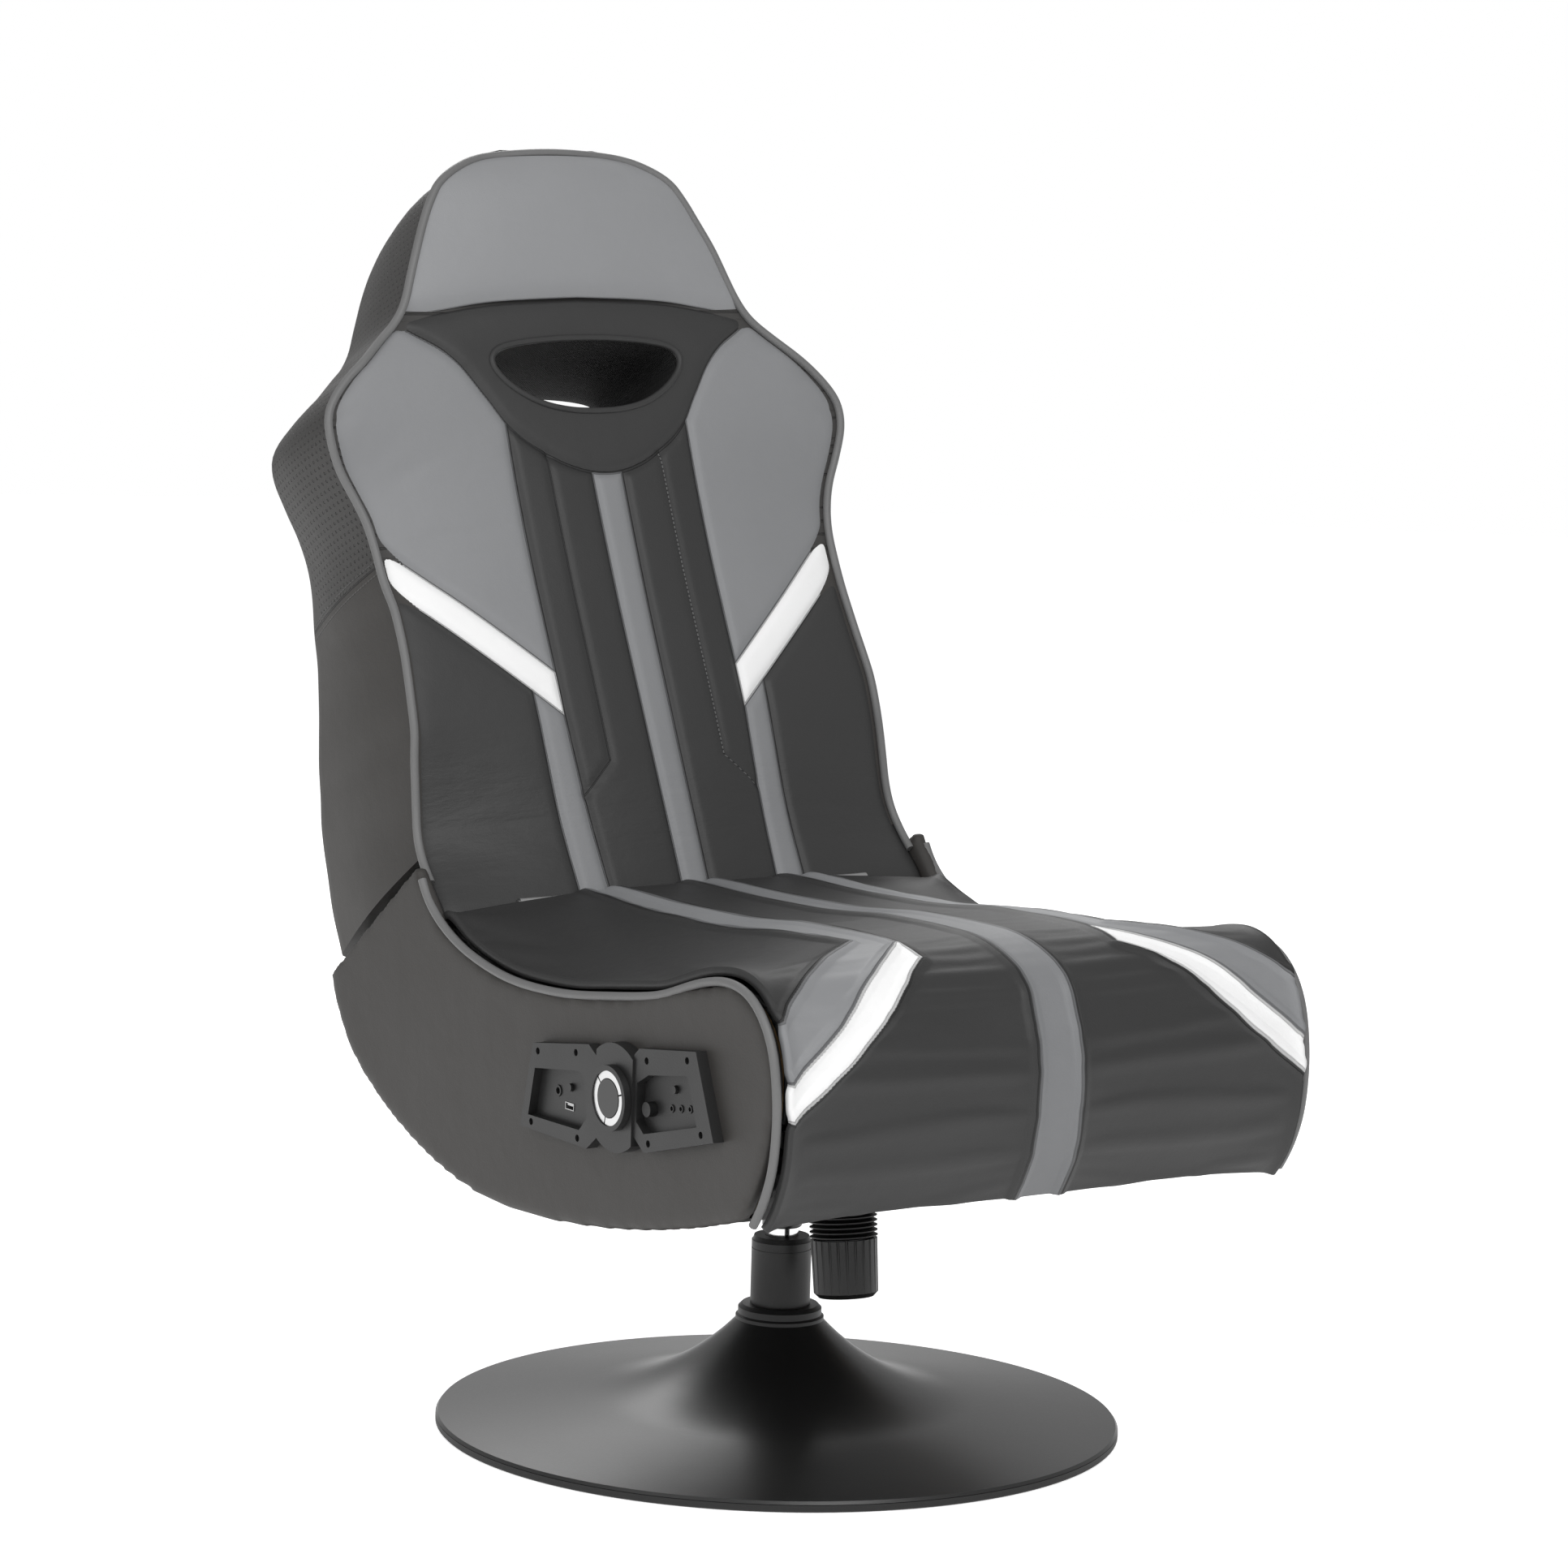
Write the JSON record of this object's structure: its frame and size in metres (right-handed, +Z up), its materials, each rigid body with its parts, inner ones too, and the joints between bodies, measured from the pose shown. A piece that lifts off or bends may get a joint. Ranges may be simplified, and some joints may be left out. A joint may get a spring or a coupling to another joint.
{
  "type": "gaming rocker chair",
  "caption": "Low gaming rocker chair on a round trumpet foot, with a swivel column, sprung tilt, folding back, head slot, speakers and a side control panel.",
  "frame": {"origin": "on the floor, on the column's swivel axis", "axes": "+Z up, the chair faces -Y, the control panel is on the -X side"},
  "size_m": [0.58, 0.8543, 1.0667],
  "materials": {
    "foot_black": "satin black powder coat",
    "plastic_black": "fine-grained black moulding",
    "steel": "zinc-plated steel",
    "chrome": "polished chrome",
    "chrome_satin": "satin chrome plating",
    "rubber": "matt black rubber",
    "leather_charcoal": "charcoal faux leather, smooth fine grain",
    "leather_grey": "mid-grey faux leather, smooth fine grain",
    "leather_white": "white faux leather, smooth",
    "leather_side": "brown-black faux leather, fine grain",
    "piping_grey": "grey leather piping",
    "mesh_black": "black spacer mesh",
    "underside_cloth": "black non-woven cloth",
    "webbing": "elastic seat webbing",
    "plywood": "bare plywood",
    "speaker_black": "black speaker basket and cone",
    "gloss_black": "gloss black cap",
    "circuit_green": "green circuit board"
  },
  "bodies": {
    "base": {"base_trumpet": "foot_black", "base_rim_trim": "plastic_black", "base_hub_tube": "steel", "base_hub_web": "steel", "base_collar": "plastic_black", "column_sleeve": "foot_black", "column_bush": "plastic_black", "bearing_seat": "steel", "thrust_bearing": "steel"},
    "column": {"piston_rod": "chrome", "retaining_clip": "steel", "tilt_socket": "foot_black", "tilt_bracket": "foot_black", "tilt_axle": "steel", "tilt_stop_pads": "rubber", "tension_spring": "steel", "tension_bellows": "rubber"},
    "seat": {"seat_plate": "foot_black", "plate_bolts": "steel", "tension_screw": "steel", "seat_cushion": "leather_charcoal", "seat_side_cover_left": "leather_side", "seat_side_cover_right": "leather_side", "seat_side_boards": "plywood", "seat_piping_left": "piping_grey", "seat_piping_right": "piping_grey", "base_board": "plywood", "cross_boards": "plywood", "seat_webbing": "webbing", "underside_cover": "underside_cloth", "hinge_leaves_seat": "steel", "hinge_pins": "steel", "control_panel": "plastic_black", "panel_screws": "steel", "dc_jack": "plastic_black", "audio_jacks": "plastic_black", "usb_port": "steel", "circuit_boards": "circuit_green"},
    "tension_slider": {"spring_washer": "steel"},
    "tension_knob": {"tension_knob": "plastic_black"},
    "back": {"back_cushion": "leather_charcoal", "headrest_cushion": "leather_grey", "back_piping": "piping_grey", "back_board": "plywood", "stop_bolts": "steel", "rear_cover": "leather_side", "slot_liner": "mesh_black", "woofer": "speaker_black", "woofer_grille": "plastic_black", "side_speakers": "speaker_black", "hinge_leaves_back": "steel"},
    "dial": {"dial_ring": "plastic_black"},
    "ring_button_1": {"ring_button_1": "chrome_satin"},
    "ring_button_2": {"ring_button_2": "chrome_satin"},
    "ring_button_3": {"ring_button_3": "chrome_satin"},
    "centre_button": {"centre_button": "gloss_black"},
    "tone_knob": {"tone_knob": "plastic_black"},
    "bay_button_left": {"bay_button_left": "plastic_black"},
    "bay_button_right": {"bay_button_right": "plastic_black"}
  },
  "joints": [
    {"name": "swivel", "type": "hinge", "parent": "base", "child": "column", "pos_m": [0, 0, 0.1], "axis": [0, 0, 1], "continuous": true},
    {"name": "seat_tilt", "type": "hinge", "parent": "column", "child": "seat", "pos_m": [0, 0.014, 0.228], "axis": [-1, 0, 0], "range_deg": [0, 9], "stiffness_Nm_per_rad": 260, "springref_deg": -11.46, "deforming": ["tension_spring", "tension_bellows"]},
    {"name": "back_fold", "type": "hinge", "parent": "seat", "child": "back", "pos_m": [0, 0.147, 0.439], "axis": [1, 0, 0], "range_deg": [0, 90]},
    {"name": "knob_travel", "type": "slide", "parent": "seat", "child": "tension_slider", "axis": [0, 0.1219, 0.9925], "range_m": [0, 0.0045], "deforming": ["tension_spring", "tension_bellows"]},
    {"name": "knob_turn", "type": "hinge", "parent": "tension_slider", "child": "tension_knob", "pos_m": [0, -0.088, 0.212], "axis": [0, 0.1219, 0.9925], "range_deg": [0, 1080]},
    {"name": "volume_turn", "type": "hinge", "parent": "seat", "child": "dial", "pos_m": [-0.277, -0.16, 0.333], "axis": [-1, 0, 0], "range_deg": [-140, 140]},
    {"name": "ring_press_1", "type": "slide", "parent": "seat", "child": "ring_button_1", "axis": [1, 0, 0], "range_m": [0, 0.0015], "stiffness_N_per_m": 400},
    {"name": "ring_press_2", "type": "slide", "parent": "seat", "child": "ring_button_2", "axis": [1, 0, 0], "range_m": [0, 0.0015], "stiffness_N_per_m": 400},
    {"name": "ring_press_3", "type": "slide", "parent": "seat", "child": "ring_button_3", "axis": [1, 0, 0], "range_m": [0, 0.0015], "stiffness_N_per_m": 400},
    {"name": "centre_press", "type": "slide", "parent": "seat", "child": "centre_button", "axis": [1, 0, 0], "range_m": [0, 0.0015], "stiffness_N_per_m": 400},
    {"name": "tone_turn", "type": "hinge", "parent": "seat", "child": "tone_knob", "pos_m": [-0.268, -0.204, 0.331], "axis": [-1, 0, 0], "range_deg": [-140, 140]},
    {"name": "left_press", "type": "slide", "parent": "seat", "child": "bay_button_left", "axis": [1, 0, 0], "range_m": [0, 0.0015], "stiffness_N_per_m": 400},
    {"name": "right_press", "type": "slide", "parent": "seat", "child": "bay_button_right", "axis": [1, 0, 0], "range_m": [0, 0.0015], "stiffness_N_per_m": 400}
  ],
  "couplings": [
    {"joint": "knob_turn", "follows": "knob_travel", "rad_per_m": 4188.8}
  ]
}
